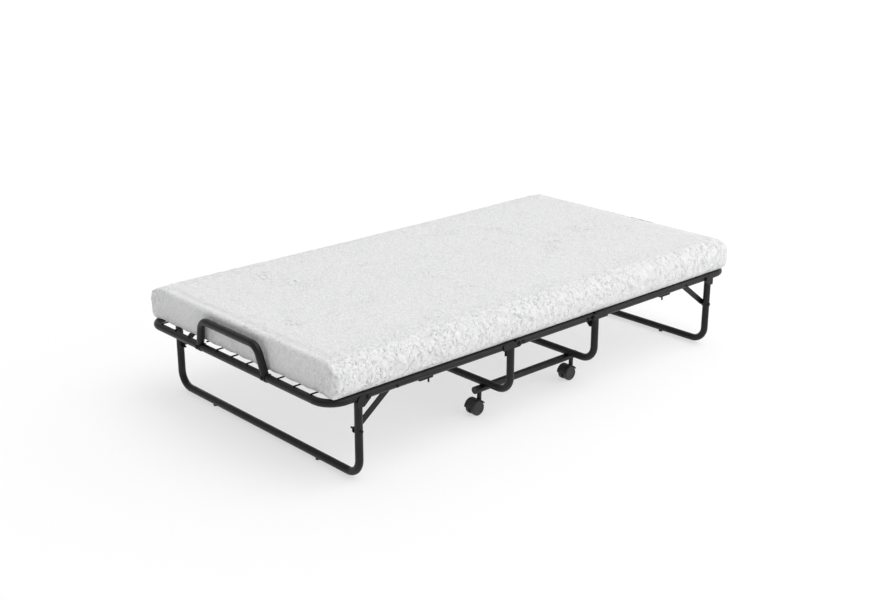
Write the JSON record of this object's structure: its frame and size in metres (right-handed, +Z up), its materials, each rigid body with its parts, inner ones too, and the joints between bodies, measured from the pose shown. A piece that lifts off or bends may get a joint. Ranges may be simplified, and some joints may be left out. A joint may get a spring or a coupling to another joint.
{
  "type": "folding rollaway bed",
  "caption": "Folding rollaway bed: a black tube frame hinged in two places, folding U-shaped end legs, a wire deck, a white foam mattress and a wheeled middle section.",
  "frame": {"origin": "on the floor, under the middle of the bed", "axes": "+X along the bed towards its foot, +Y across it, +Z up"},
  "size_m": [1.9196, 0.9966, 0.392],
  "materials": {
    "black_paint": "semi-gloss black powder coat",
    "black_plastic": "moulded black plastic",
    "wheel_plastic": "moulded black plastic, worn smooth at the tread",
    "mattress_cover": "white knitted cover, softly embossed"
  },
  "bodies": {
    "centre_frame": {"centre_rails": "black_paint", "middle_leg_head": "black_paint", "middle_leg_foot": "black_paint", "middle_leg_ears": "black_paint", "centre_bolts": "black_paint", "centre_nuts": "black_paint", "centre_cross_tubes": "black_paint", "centre_deck_rods": "black_paint", "wheel_bar_near": "black_paint", "wheel_bar_far": "black_paint", "wheel_bar_caps": "black_plastic", "caster_sockets": "black_plastic", "mattress_middle": "mattress_cover", "mattress_bend_head": "mattress_cover", "mattress_bend_foot": "mattress_cover"},
    "head_half": {"head_frame": "black_paint", "head_hinge_straps": "black_paint", "head_cross_tubes": "black_paint", "head_deck_rods": "black_paint", "head_deck_cross_rods": "black_paint", "head_retainer": "black_paint", "head_retainer_clamps": "black_paint", "head_bolts": "black_paint", "head_nuts": "black_paint", "head_leg_catches": "black_paint", "mattress_head": "mattress_cover"},
    "head_leg": {"head_leg_tube": "black_paint", "head_leg_ears": "black_paint", "head_leg_glides": "black_plastic", "head_leg_studs": "black_paint"},
    "head_braces": {"head_brace_bars": "black_paint"},
    "foot_half": {"foot_frame": "black_paint", "foot_hinge_straps": "black_paint", "foot_cross_tubes": "black_paint", "foot_deck_rods": "black_paint", "foot_deck_cross_rods": "black_paint", "foot_retainer": "black_paint", "foot_retainer_clamps": "black_paint", "foot_bolts": "black_paint", "foot_nuts": "black_paint", "foot_leg_catches": "black_paint", "mattress_foot": "mattress_cover"},
    "foot_leg": {"foot_leg_tube": "black_paint", "foot_leg_ears": "black_paint", "foot_leg_glides": "black_plastic", "foot_leg_studs": "black_paint"},
    "foot_braces": {"foot_brace_bars": "black_paint"},
    "caster_head_near": {"caster_fork_head_near": "black_plastic"},
    "wheels_head_near": {"caster_wheels_head_near": "wheel_plastic"},
    "caster_head_far": {"caster_fork_head_far": "black_plastic"},
    "wheels_head_far": {"caster_wheels_head_far": "wheel_plastic"},
    "caster_foot_near": {"caster_fork_foot_near": "black_plastic"},
    "wheels_foot_near": {"caster_wheels_foot_near": "wheel_plastic"},
    "caster_foot_far": {"caster_fork_foot_far": "black_plastic"},
    "wheels_foot_far": {"caster_wheels_foot_far": "wheel_plastic"}
  },
  "joints": [
    {"name": "head_fold", "type": "hinge", "parent": "centre_frame", "child": "head_half", "pos_m": [-0.18, 0, 0.269], "axis": [0, 1, 0], "range_deg": [0, 90], "deforming": ["mattress_bend_head"]},
    {"name": "foot_fold", "type": "hinge", "parent": "centre_frame", "child": "foot_half", "pos_m": [0.18, 0, 0.269], "axis": [0, -1, 0], "range_deg": [0, 90], "deforming": ["mattress_bend_foot"]},
    {"name": "head_leg_fold", "type": "hinge", "parent": "head_half", "child": "head_leg", "pos_m": [-0.8045, 0, 0.266], "axis": [0, -1, 0], "range_deg": [0, 90]},
    {"name": "head_braces_lift", "type": "hinge", "parent": "head_half", "child": "head_braces", "pos_m": [-0.69, 0, 0.267], "axis": [0, 1, 0], "range_deg": [0, 23]},
    {"name": "foot_leg_fold", "type": "hinge", "parent": "foot_half", "child": "foot_leg", "pos_m": [0.8045, 0, 0.266], "axis": [0, 1, 0], "range_deg": [0, 90]},
    {"name": "foot_braces_lift", "type": "hinge", "parent": "foot_half", "child": "foot_braces", "pos_m": [0.69, 0, 0.267], "axis": [0, -1, 0], "range_deg": [0, 23]},
    {"name": "swivel_head_near", "type": "hinge", "parent": "centre_frame", "child": "caster_head_near", "pos_m": [-0.224, -0.358, 0.06], "axis": [0, 0, 1], "continuous": true},
    {"name": "roll_head_near", "type": "hinge", "parent": "caster_head_near", "child": "wheels_head_near", "pos_m": [-0.244, -0.358, 0.025], "axis": [0, 1, 0], "continuous": true},
    {"name": "swivel_head_far", "type": "hinge", "parent": "centre_frame", "child": "caster_head_far", "pos_m": [-0.224, 0.358, 0.06], "axis": [0, 0, 1], "continuous": true},
    {"name": "roll_head_far", "type": "hinge", "parent": "caster_head_far", "child": "wheels_head_far", "pos_m": [-0.244, 0.358, 0.025], "axis": [0, 1, 0], "continuous": true},
    {"name": "swivel_foot_near", "type": "hinge", "parent": "centre_frame", "child": "caster_foot_near", "pos_m": [0.224, -0.358, 0.06], "axis": [0, 0, 1], "continuous": true},
    {"name": "roll_foot_near", "type": "hinge", "parent": "caster_foot_near", "child": "wheels_foot_near", "pos_m": [0.204, -0.358, 0.025], "axis": [0, 1, 0], "continuous": true},
    {"name": "swivel_foot_far", "type": "hinge", "parent": "centre_frame", "child": "caster_foot_far", "pos_m": [0.224, 0.358, 0.06], "axis": [0, 0, 1], "continuous": true},
    {"name": "roll_foot_far", "type": "hinge", "parent": "caster_foot_far", "child": "wheels_foot_far", "pos_m": [0.204, 0.358, 0.025], "axis": [0, 1, 0], "continuous": true}
  ],
  "couplings": [
    {"joint": "head_braces_lift", "follows": "head_leg_fold", "ratio": 0.25},
    {"joint": "foot_braces_lift", "follows": "foot_leg_fold", "ratio": 0.25}
  ]
}
